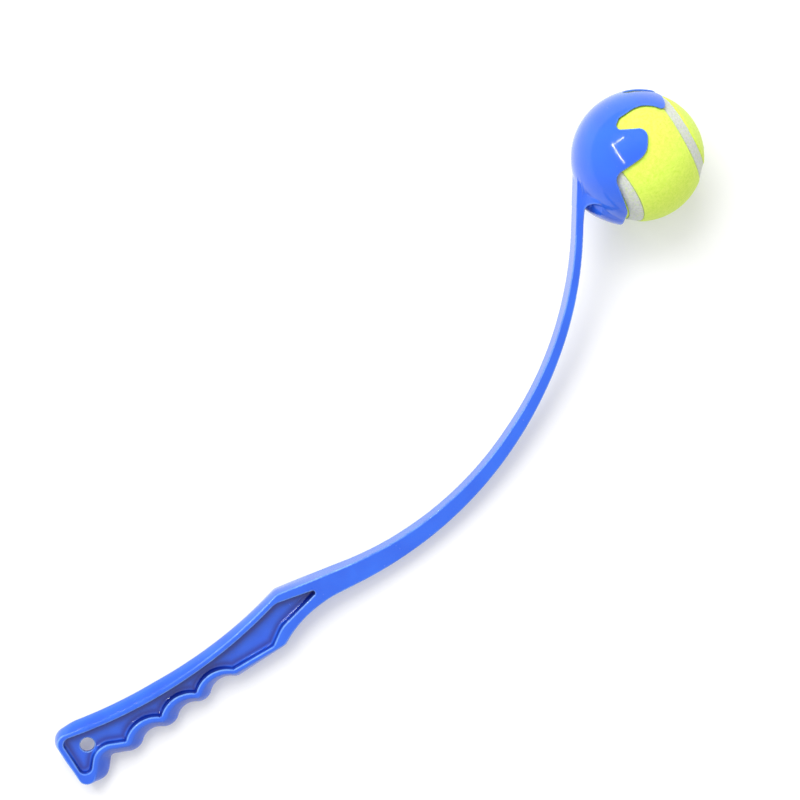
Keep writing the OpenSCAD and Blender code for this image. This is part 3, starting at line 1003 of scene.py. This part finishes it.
@dataclass(frozen=True)
class Ball:
    """The felt ball: two felt panels, the seam cement between them and a rubber core of two halves."""

    diameter: float = 63.5
    felt_inner_r: float = 28.8
    seam_w: float = 7.4
    seam_sink: float = 0.6
    seam_dish: float = 0.25
    seam_edge_r: float = 0.1
    felt_edge_r: float = 1.3
    lobe_dip: float = 6.0
    nap: float = 0.07
    nap_below: float = 0.9
    # Tufts per metre and their share of the nap
    tufts: tuple[Band, Band] = ((620.0, 1.0), (1100.0, 0.6))
    mesher: FieldMesher = FieldMesher(0.55)
    mesh_margin: float = 1.5
    rest: RestingPlace = RestingPlace()

    def lobe_axes(self) -> tuple[Array, Array]:
        """Give the axes of the panels' end lobes.

        Returns:
            Two axes of the top panel and two of the bottom one, a row each.
        """
        dip = math.radians(self.lobe_dip)
        top = np.array([(s * math.cos(dip), 0, -math.sin(dip)) for s in (1, -1)])
        bottom = np.array([(0, s * math.cos(dip), math.sin(dip)) for s in (1, -1)])
        return top, bottom

    def seam_offset(self, x: Array, y: Array, z: Array) -> Array:
        """Measure how far round the ball points lie from the middle of the seam.

        Args:
            x: First coordinates in the ball's frame.
            y: Second coordinates.
            z: Third coordinates.

        Returns:
            Distances over the ball's surface, positive on the top panel.
        """
        far = np.maximum(np.sqrt(x * x + y * y + z * z), TINY)
        lobe = math.acos(-math.sin(math.radians(self.lobe_dip)) ** 2) / 2
        top, bottom = self.lobe_axes()

        def nearest(axes: Array) -> Array:
            """Give the angle to the nearest of two axes."""
            dots = [(x * a[0] + y * a[1] + z * a[2]) / far for a in axes]
            return np.arccos(np.clip(np.maximum(*dots), -1, 1))

        above = nearest(bottom) - lobe
        below = lobe - nearest(top)
        return np.where(z >= 0, above, below) * self.diameter / 2

    def felt_field(self, side: int) -> Field:
        """Give the field of one felt panel.

        Args:
            side: 1 for the top panel, -1 for the bottom one.

        Returns:
            The field, in the ball's frame.
        """

        def field(x: Array, y: Array, z: Array) -> Array:
            """Measure the distance from the panel."""
            far = np.sqrt(x * x + y * y + z * z)
            edge = self.seam_w / 2 - side * self.seam_offset(x, y, z)
            skin = round_max(far - self.diameter / 2, edge, self.felt_edge_r)
            return np.maximum(skin, self.felt_inner_r - far)

        return field

    def seam_field(self, x: Array, y: Array, z: Array) -> Array:
        """Measure the distance from the cement strip in the seam.

        Args:
            x: First coordinates in the ball's frame.
            y: Second coordinates.
            z: Third coordinates.

        Returns:
            Distances, negative inside the strip.
        """
        far = np.sqrt(x * x + y * y + z * z)
        offset = self.seam_offset(x, y, z)
        half = self.seam_w / 2
        skin = far - self.diameter / 2 + self.seam_sink - self.seam_dish * (offset / half) ** 2
        strip = round_max(skin, np.abs(offset) - half, self.seam_edge_r)
        return np.maximum(strip, self.felt_inner_r - far)

    def mesh(self, name: str, field: Field) -> Object:
        """Mesh a piece of the ball whole, in place."""
        r = self.diameter / 2 + self.mesh_margin
        return Blank(self.mesher, field, (-r, -r, -r), (r, r, r), self.rest.ball()).piece(name)

    def raise_nap(self, piece: Object) -> None:
        """Roughen the outside of a felt panel into small tufts.

        Args:
            piece: The panel, in place.
        """
        centre = self.rest.ball().to_translation() * MM
        for v in piece.data.vertices:
            out = v.co - centre
            if out.length > (self.diameter / 2 - self.nap_below) * MM:
                tuft = sum(share * noise.noise(v.co * scale) for scale, share in self.tufts)
                v.co += out.normalized() * tuft * self.nap * MM

    def build(self, felt: Material, seam: Material, core: Material) -> None:
        """Build the panels and the seam, and dress the core.

        Args:
            felt: Finish of the felt.
            seam: Finish of the cement in the seam.
            core: Finish of the core's rubber.
        """
        for name, side in (("felt_panel_top", 1), ("felt_panel_bottom", -1)):
            piece = self.mesh(f"{name}_nap", self.felt_field(side))
            self.raise_nap(piece)
            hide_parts(name)
            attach(dress(piece, felt), "ball")
        piece = self.mesh("seam_strip", self.seam_field)
        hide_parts("seam_cement")
        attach(dress(piece, seam), "ball")
        for name in ("core_half_top", "core_half_bottom", "core_cement_ring"):
            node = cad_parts[name]
            node.data.materials.clear()
            node.data.materials.append(core)
            LOG.info("%s: kept from the solids", name)


class Graph:
    """Adds nodes to a node tree."""

    def __init__(self, tree: NodeTree) -> None:
        """Take the tree to add to."""
        self.tree = tree

    def add(self, kind: str, inputs: dict | None = None, **settings: object) -> Node:
        """Add a node.

        Args:
            kind: Node type without its ShaderNode prefix.
            inputs: Values or sockets by the name or number of the input.
            settings: Properties of the node itself.

        Returns:
            The node.
        """
        node = self.tree.nodes.new(kind if kind.startswith("Node") else f"ShaderNode{kind}")
        for key, value in settings.items():
            setattr(node, key, value)
        self.feed(node, inputs or {})
        return node

    def feed(self, node: Node, inputs: dict) -> None:
        """Set or link a node's inputs.

        Args:
            node: The node.
            inputs: Values or sockets by the name or number of the input.
        """
        for key, value in inputs.items():
            if isinstance(value, NodeSocket):
                self.tree.links.new(value, node.inputs[key])
            else:
                node.inputs[key].default_value = value

    def where(self) -> NodeSocket:
        """Add the object's own coordinates."""
        return self.add("TexCoord").outputs["Object"]

    def noise(self, where: NodeSocket, scale: NodeSocket | float, detail: float = 2.0) -> NodeSocket:
        """Add a noise texture and give its value."""
        return self.add("TexNoise", {"Vector": where, "Scale": scale, "Detail": detail}).outputs[0]

    def range(self, value: NodeSocket, low: float, high: float, to: Band = (0.0, 1.0)) -> NodeSocket:
        """Map a value from low and high to two other values, and clamp it."""
        inputs = {"Value": value, "From Min": low, "From Max": high, "To Min": to[0], "To Max": to[1]}
        return self.add("MapRange", inputs).outputs[0]

    def math(self, operation: str, *values: NodeSocket | float) -> NodeSocket:
        """Add a math node and give its result."""
        return self.add("Math", dict(enumerate(values)), operation=operation).outputs[0]

    def product(self, a: NodeSocket, b: NodeSocket, c: NodeSocket) -> NodeSocket:
        """Multiply three values and give the result."""
        return self.math("MULTIPLY", self.math("MULTIPLY", a, b), c)

    def bump(self, height: NodeSocket, strength: float, depth: float) -> NodeSocket:
        """Add a bump of a depth in metres and give its normal."""
        return self.add("Bump", {"Height": height, "Strength": strength, "Distance": depth}).outputs[0]

    def mix(self, share: NodeSocket, a: NodeSocket | Colour, b: NodeSocket | Colour) -> NodeSocket:
        """Mix two colours by a share and give the result."""
        return self.add("Mix", {"Factor": share, 6: a, 7: b}, data_type="RGBA").outputs[2]


class Effect(Enum):
    """Surface effects that several finishes share, each a shader node group."""

    FLOW = "mould_flow"
    SCUFF = "handling_scuffs"
    # Painted highlight and wear on outer edges, and painted shade in hollows and corners
    EDGE = "edge_wear_highlight_and_corner_shade"
    DUST = "dust_specks"
    TUFT = "felt_tufts"


class EffectShelf:
    """Builds each shared effect once and places it in materials."""

    def __init__(self) -> None:
        """Build all the groups."""
        self.groups = {
            Effect.FLOW: self.flow(),
            Effect.SCUFF: self.scuff(),
            Effect.EDGE: self.edge(),
            Effect.DUST: self.dust(),
            Effect.TUFT: self.tuft(),
        }

    def new(self, effect: Effect, inputs: dict[str, float], outputs: tuple[str, ...]) -> tuple:
        """Start a group.

        Args:
            effect: The effect.
            inputs: Its inputs and their values.
            outputs: Its outputs.

        Returns:
            The group, its graph, and its input and output nodes.
        """
        group = bpy.data.node_groups.new(effect.value, "ShaderNodeTree")
        for name, value in inputs.items():
            socket = group.interface.new_socket(name, in_out="INPUT", socket_type="NodeSocketFloat")
            socket.default_value = value
        for name in outputs:
            group.interface.new_socket(name, in_out="OUTPUT", socket_type="NodeSocketFloat")
        graph = Graph(group)
        return group, graph, graph.add("NodeGroupInput"), graph.add("NodeGroupOutput")

    def flow(self) -> NodeTree:
        """Build the soft ripple and clouding of a moulded surface.

        Returns:
            The group.
        """
        group, g, given, out = self.new(Effect.FLOW, {"Scale": 90.0}, ("Height", "Cloud"))
        where = g.where()
        wide = g.noise(where, given.outputs["Scale"], 1.0)
        fine = g.noise(where, g.math("MULTIPLY", given.outputs["Scale"], 9.0), 2.0)
        g.feed(out, {"Height": g.math("MULTIPLY_ADD", fine, 0.06, wide), "Cloud": g.range(wide, 0.3, 0.7)})
        return group

    def scuff(self) -> NodeTree:
        """Build thin scratches that gather in patches.

        Returns:
            The group.
        """
        group, g, given, out = self.new(Effect.SCUFF, {"Scale": 1.0, "Amount": 0.5}, ("Mask",))
        where = g.where()
        lines = None
        for turn, stretch in ((0.6, (40.0, 1500.0, 700.0)), (-0.9, (1300.0, 55.0, 600.0))):
            spin = {"Vector": where, "Rotation": (0.2, 0.1, turn), "Scale": stretch}
            streak = g.noise(g.add("Mapping", spin).outputs[0], given.outputs["Scale"], 2.0)
            line = g.range(streak, 0.64, 0.74)
            lines = line if lines is None else g.math("MAXIMUM", lines, line)
        patch = g.range(g.noise(where, 45.0, 3.0), 0.45, 0.68)
        g.feed(out, {"Mask": g.product(lines, patch, given.outputs["Amount"])})
        return group

    def edge(self) -> NodeTree:
        """Build the painted highlight and wear on outer edges, and the painted shade in corners and hollows.

        Returns:
            The group.
        """
        group, g, given, out = self.new(Effect.EDGE, {"Amount": 0.5}, ("Mask", "Crease"))
        sharp, hollow = (g.add("Attribute", attribute_name=form.value).outputs["Fac"] for form in Form)
        patch = g.range(g.noise(g.where(), 130.0, 3.0), 0.3, 0.55, (0.45, 1.0))
        # The first output is a painted highlight on outer edges, also used as wear; the second is painted
        # shade in hollows and corners
        worn_and_highlit = g.product(g.range(sharp, 0.5, 1.9), patch, given.outputs["Amount"])
        g.feed(out, {"Mask": worn_and_highlit, "Crease": g.range(hollow, 0.06, 0.40)})
        return group

    def dust(self) -> NodeTree:
        """Build sparse specks of dust.

        Returns:
            The group.
        """
        group, g, given, out = self.new(Effect.DUST, {"Scale": 260.0, "Amount": 0.5}, ("Mask",))
        where = g.where()
        spot = g.add("TexVoronoi", {"Vector": where, "Scale": given.outputs["Scale"]})
        speck = g.range(spot.outputs["Distance"], 0.05, 0.11, (1.0, 0.0))
        few = g.range(g.add("SeparateColor", {0: spot.outputs["Color"]}).outputs[0], 0.8, 0.86)
        g.feed(out, {"Mask": g.product(speck, few, given.outputs["Amount"])})
        return group

    def tuft(self) -> NodeTree:
        """Build the matted fibres of the felt.

        Returns:
            The group.
        """
        group, g, given, out = self.new(Effect.TUFT, {"Scale": 700.0}, ("Height", "Shade"))
        where = g.where()
        bent = g.add("TexNoise", {"Vector": where, "Scale": 300.0, "Detail": 1.0}).outputs["Color"]
        bent = g.add("VectorMath", {0: bent, "Scale": 0.004}, operation="SCALE").outputs[0]
        moved = g.add("VectorMath", {0: where, 1: bent}, operation="ADD").outputs[0]
        clump = g.noise(moved, given.outputs["Scale"], 3.0)
        fibre = g.noise(moved, g.math("MULTIPLY", given.outputs["Scale"], 4.0), 2.0)
        height = g.math("MULTIPLY_ADD", fibre, 0.5, clump)
        g.feed(out, {"Height": height, "Shade": g.range(height, 0.5, 1.0)})
        return group

    def place(self, graph: Graph, effect: Effect, **values: float) -> Node:
        """Place an effect in a material.

        Args:
            graph: The material's graph.
            effect: The effect.
            values: Its inputs, by lower-case name.

        Returns:
            The group node.
        """
        node = graph.add("Group", node_tree=self.groups[effect])
        for name, value in values.items():
            node.inputs[name.title()].default_value = value
        return node


def new_material(name: str) -> tuple[Material, Graph, Node]:
    """Start a material.

    Args:
        name: Its name.

    Returns:
        The material, its graph and its Principled shader.
    """
    material = bpy.data.materials.new(name)
    material.use_nodes = True
    return material, Graph(material.node_tree), material.node_tree.nodes["Principled BSDF"]


class Finish:
    """What the finishes share: each says what goes into its shader."""

    name: str

    def sockets(self, g: Graph, shelf: EffectShelf) -> dict[str, object]:
        """Give the shader's values and links by the name of its socket."""
        raise NotImplementedError

    def build(self, shelf: EffectShelf) -> Material:
        """Build the material.

        Args:
            shelf: The shared effects.

        Returns:
            The material.
        """
        material, g, shader = new_material(self.name)
        g.feed(shader, self.sockets(g, shelf))
        return material


@dataclass(frozen=True)
class MouldedPlastic(Finish):
    """Glossy blue plastic, straight from the mould and lightly handled, with painted highlights on its outer
    edges and painted shade in its hollows.
    """

    name: str
    colour: Colour = (0.013, 0.130, 0.80, 1.0)
    deep: Colour = (0.009, 0.106, 0.74, 1.0)
    # The next two colours are a painted highlight for outer edges and painted shade for hollows and corners
    edge_highlight: Colour = (0.28, 0.54, 0.93, 1.0)
    hollow: Colour = (0.002, 0.018, 0.28, 1.0)
    gloss: float = 0.10
    flow_scale: float = 90.0
    flow_depth: float = 0.00005
    scuffs: float = 0.5
    # Strength of the painted highlight and wear on outer edges
    edges: float = 0.7
    dust: float = 0.07
    dust_colour: Colour = (0.75, 0.78, 0.85, 1.0)

    def sockets(self, g: Graph, shelf: EffectShelf) -> dict[str, object]:
        """Give the shader's values and links.

        Args:
            g: The material's graph.
            shelf: The shared effects.

        Returns:
            Values or sockets by the name of the shader's socket.
        """
        flow = shelf.place(g, Effect.FLOW, scale=self.flow_scale)
        scuff = shelf.place(g, Effect.SCUFF, amount=self.scuffs)
        edge = shelf.place(g, Effect.EDGE, amount=self.edges)
        dust = shelf.place(g, Effect.DUST, amount=self.dust)
        tone = g.mix(flow.outputs["Cloud"], self.deep, self.colour)
        # Painted shade darkens hollows and corners, and a painted highlight lightens outer edges
        tone = g.mix(edge.outputs["Crease"], tone, self.hollow)
        tone = g.mix(edge.outputs["Mask"], tone, self.edge_highlight)
        tone = g.mix(dust.outputs["Mask"], tone, self.dust_colour)
        rough = g.range(flow.outputs["Cloud"], 0, 1, (self.gloss, self.gloss + 0.05))
        worn_and_highlit = g.math("MAXIMUM", scuff.outputs["Mask"], edge.outputs["Mask"])
        rough = g.math("MULTIPLY_ADD", worn_and_highlit, 0.25, rough)
        return {
            "Base Color": tone,
            "Roughness": rough,
            "Normal": g.bump(flow.outputs["Height"], 1.0, self.flow_depth),
            "IOR": 1.5,
            "Coat Weight": 0.3,
            "Coat Roughness": 0.06,
            "Sheen Weight": 0.12,
            "Sheen Roughness": 0.4,
            "Sheen Tint": (0.6, 0.9, 1.0, 1.0),
        }


@dataclass(frozen=True)
class WoolFelt(Finish):
    """Bright yellow felt with a matted nap."""

    name: str = "yellow_felt"
    light: Colour = (0.82, 1.0, 0.15, 1.0)
    deep: Colour = (0.66, 0.90, 0.08, 1.0)
    lint: Colour = (0.93, 1.0, 0.6, 1.0)
    tuft_scale: float = 700.0
    tuft_depth: float = 0.0002

    def sockets(self, g: Graph, shelf: EffectShelf) -> dict[str, object]:
        """Give the shader's values and links.

        Args:
            g: The material's graph.
            shelf: The shared effects.

        Returns:
            Values or sockets by the name of the shader's socket.
        """
        tuft = shelf.place(g, Effect.TUFT, scale=self.tuft_scale)
        dust = shelf.place(g, Effect.DUST, scale=420.0, amount=0.3)
        tone = g.mix(tuft.outputs["Shade"], self.deep, self.light)
        return {
            "Base Color": g.mix(dust.outputs["Mask"], tone, self.lint),
            "Roughness": g.range(tuft.outputs["Shade"], 0, 1, (1.0, 0.85)),
            "Normal": g.bump(tuft.outputs["Height"], 0.8, self.tuft_depth),
            "Sheen Weight": 0.25,
            "Sheen Roughness": 0.5,
            "Specular IOR Level": 0.1,
        }


@dataclass(frozen=True)
class Rubber(Finish):
    """Matt rubber or rubber cement."""

    name: str
    colour: Colour
    shade: Colour
    fibres: Colour | None = None
    grain: float = 900.0
    grain_depth: float = 0.0002
    dust_colour: Colour = (0.85, 0.87, 0.85, 1.0)

    def sockets(self, g: Graph, shelf: EffectShelf) -> dict[str, object]:
        """Give the shader's values and links.

        Args:
            g: The material's graph.
            shelf: The shared effects.

        Returns:
            Values or sockets by the name of the shader's socket.
        """
        flow = shelf.place(g, Effect.FLOW, scale=self.grain)
        dust = shelf.place(g, Effect.DUST, scale=500.0, amount=0.4)
        tone = g.mix(flow.outputs["Cloud"], self.shade, self.colour)
        tone = g.mix(dust.outputs["Mask"], tone, self.dust_colour)
        if self.fibres:
            tuft = shelf.place(g, Effect.TUFT, scale=900.0)
            stray = g.range(tuft.outputs["Shade"], 0.62, 0.8, (0.0, 0.45))
            tone = g.mix(stray, tone, self.fibres)
        return {
            "Base Color": tone,
            "Roughness": g.range(flow.outputs["Cloud"], 0, 1, (0.6, 0.75)),
            "Normal": g.bump(flow.outputs["Height"], 0.6, self.grain_depth),
        }


@dataclass(frozen=True)
class Studio:
    """White table, soft light from the picture's upper left, two thin light strips, and a camera overhead.

    Places of lamps run right, up and towards the camera in the picture, in metres from its middle.
    """

    camera_over: Band = (0.2310, 0.00214)
    camera_height: float = 1.75
    lens: float = 157.56
    sensor: float = 36.0
    clip: Band = (0.05, 20.0)
    turn: float = -47.2
    floor_half: float = 4.0
    floor_albedo: float = 0.75
    floor_glow: float = 0.24
    world_level: float = 0.70
    middle: Point = (0.0, 0.0, 0.0)
    head: Point = (0.118, 0.119, 0.02)
    soft_ends: tuple[Point, Point] = ((-1.6, 1.0, 2.1), (0.2, 2.1, 2.1))
    soft_width: float = 1.8
    soft_level: float = 54.0
    strip_bend: Point = (-1.0, 0.54, 1.0)
    strip_short: Point = (-0.47, 0.77, 1.0)
    strip_long: Point = (-0.39, -0.13, 1.0)
    strip_width: float = 0.015
    short_level: float = 1.62
    long_level: float = 2.7

    def place(self, right: float, up: float, height: float) -> Vector:
        """Bring a lamp's place into the part's frame.

        Args:
            right: Metres to the right of the picture's middle.
            up: Metres up the picture.
            height: Metres towards the camera.

        Returns:
            The place.
        """
        flat = Vector((right, up, 0))
        flat.rotate(Matrix.Rotation(math.radians(self.turn), 3, "Z"))
        return flat + Vector((*self.camera_over, height))

    def lamp(
        self, name: str, ends: tuple[Point, Point], towards: Point, width: float, level: float
    ) -> Object:
        """Hang a rectangular lamp.

        Args:
            name: Name of the lamp.
            ends: Middles of its two short sides.
            towards: The point that it shines at.
            width: Length of its short sides.
            level: Its power.

        Returns:
            The lamp.
        """
        start, end, target = (self.place(*p) for p in (*ends, towards))
        at, top = (start + end) / 2, end - start
        data = bpy.data.lights.new(name, "AREA")
        data.shape, data.energy = "RECTANGLE", level
        data.size, data.size_y = top.length, width
        back = (at - target).normalized()
        side = (top - back * top.dot(back)).normalized()
        turn = Matrix((side, back.cross(side), back)).transposed()
        lamp = add_object(name, data)
        lamp.matrix_world = Matrix.Translation(at) @ turn.to_4x4()
        return lamp

    def white(self, g: Graph) -> NodeSocket:
        """Mask the rays that show the background, straight or mirrored.

        Args:
            g: The graph to add to.

        Returns:
            1 for such rays and 0 for the rest.
        """
        path = g.add("LightPath").outputs
        shown = g.math("MAXIMUM", path["Is Camera Ray"], path["Is Glossy Ray"])
        return g.math("MAXIMUM", shown, path["Is Transmission Ray"])

    def build_floor(self, level: float) -> None:
        """Lay the white table.

        Args:
            level: Its height in metres.
        """
        bm = bmesh.new()
        bmesh.ops.create_grid(bm, x_segments=8, y_segments=8, size=self.floor_half)
        mesh = bpy.data.meshes.new("table")
        bm.to_mesh(mesh)
        bm.free()
        floor = add_object("table", mesh)
        floor.location = (*self.camera_over, level)
        material, g, shader = new_material("table_white")
        g.feed(shader, {
            "Base Color": (self.floor_albedo,) * 3 + (1.0,),
            "Roughness": 0.9,
            "Specular IOR Level": 0.0,
            "Emission Color": g.math("MULTIPLY", self.white(g), self.floor_glow),
            "Emission Strength": 1.0,
        })
        mesh.materials.append(material)
        floor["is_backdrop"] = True

    def build_world(self) -> None:
        """Set the soft light from all round, white where it is seen."""
        world = bpy.data.worlds.new("room")
        bpy.context.scene.world = world
        world.use_nodes = True
        g = Graph(world.node_tree)
        level = g.range(self.white(g), 0, 1, (self.world_level, 1.0))
        g.feed(g.tree.nodes["Background"], {"Color": WHITE, "Strength": level})

    def build_camera(self, level: float) -> None:
        """Set the camera straight over the table.

        Args:
            level: Height of the table.
        """
        data = bpy.data.cameras.new("overhead")
        data.lens, data.sensor_width = self.lens, self.sensor
        data.clip_start, data.clip_end = self.clip
        camera = add_object("overhead", data)
        camera.location = (*self.camera_over, level + self.camera_height)
        camera.rotation_euler = (0, 0, math.radians(self.turn))
        bpy.context.scene.camera = camera

    def build(self, level: float) -> None:
        """Build the floor, the light and the camera.

        Args:
            level: Height of the table.
        """
        bpy.context.scene.view_settings.view_transform = "Standard"
        self.build_floor(level)
        self.build_world()
        self.build_camera(level)
        window = self.lamp("soft_window", self.soft_ends, self.middle, self.soft_width, self.soft_level)
        window.visible_glossy = False
        strips = {
            "strip_short": (self.strip_short, self.short_level),
            "strip_long": (self.strip_long, self.long_level),
        }
        for name, (end, power) in strips.items():
            self.lamp(name, (self.strip_bend, end), self.head, self.strip_width, power)


def main() -> None:
    """Build the launcher, the ball and the studio, with the table at the solids' lowest point."""
    logging.basicConfig(level=logging.INFO, format="%(name)s %(message)s")
    cad_box = [list(corner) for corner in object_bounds()]
    shelf = EffectShelf()
    # Each plastic sets its painted edge highlight and wear; the cup takes a lighter painted shade in its
    # hollows
    plastic = {
        "grip": MouldedPlastic("blue_plastic_grip", scuffs=0.9, edges=0.9),
        "arm": MouldedPlastic("blue_plastic_arm", flow_scale=60.0, edges=0.55),
        "cup": MouldedPlastic("blue_plastic_cup", hollow=CUP_HOLLOW_SHADE, flow_scale=60.0, edges=0.2),
    }
    Launcher().build({name: finish.build(shelf) for name, finish in plastic.items()})
    felt = WoolFelt().build(shelf)
    seam = Rubber("seam_cement_grey", (0.70, 0.72, 0.68, 1), (0.57, 0.59, 0.56, 1), (0.62, 0.85, 0.12, 1))
    core = Rubber("core_rubber_grey", (0.10, 0.105, 0.11, 1), (0.07, 0.075, 0.08, 1), None, 500.0)
    Ball().build(felt, seam.build(shelf), core.build(shelf))
    Studio().build(cad_box[0][2])


if __name__ == "__main__":
    main()
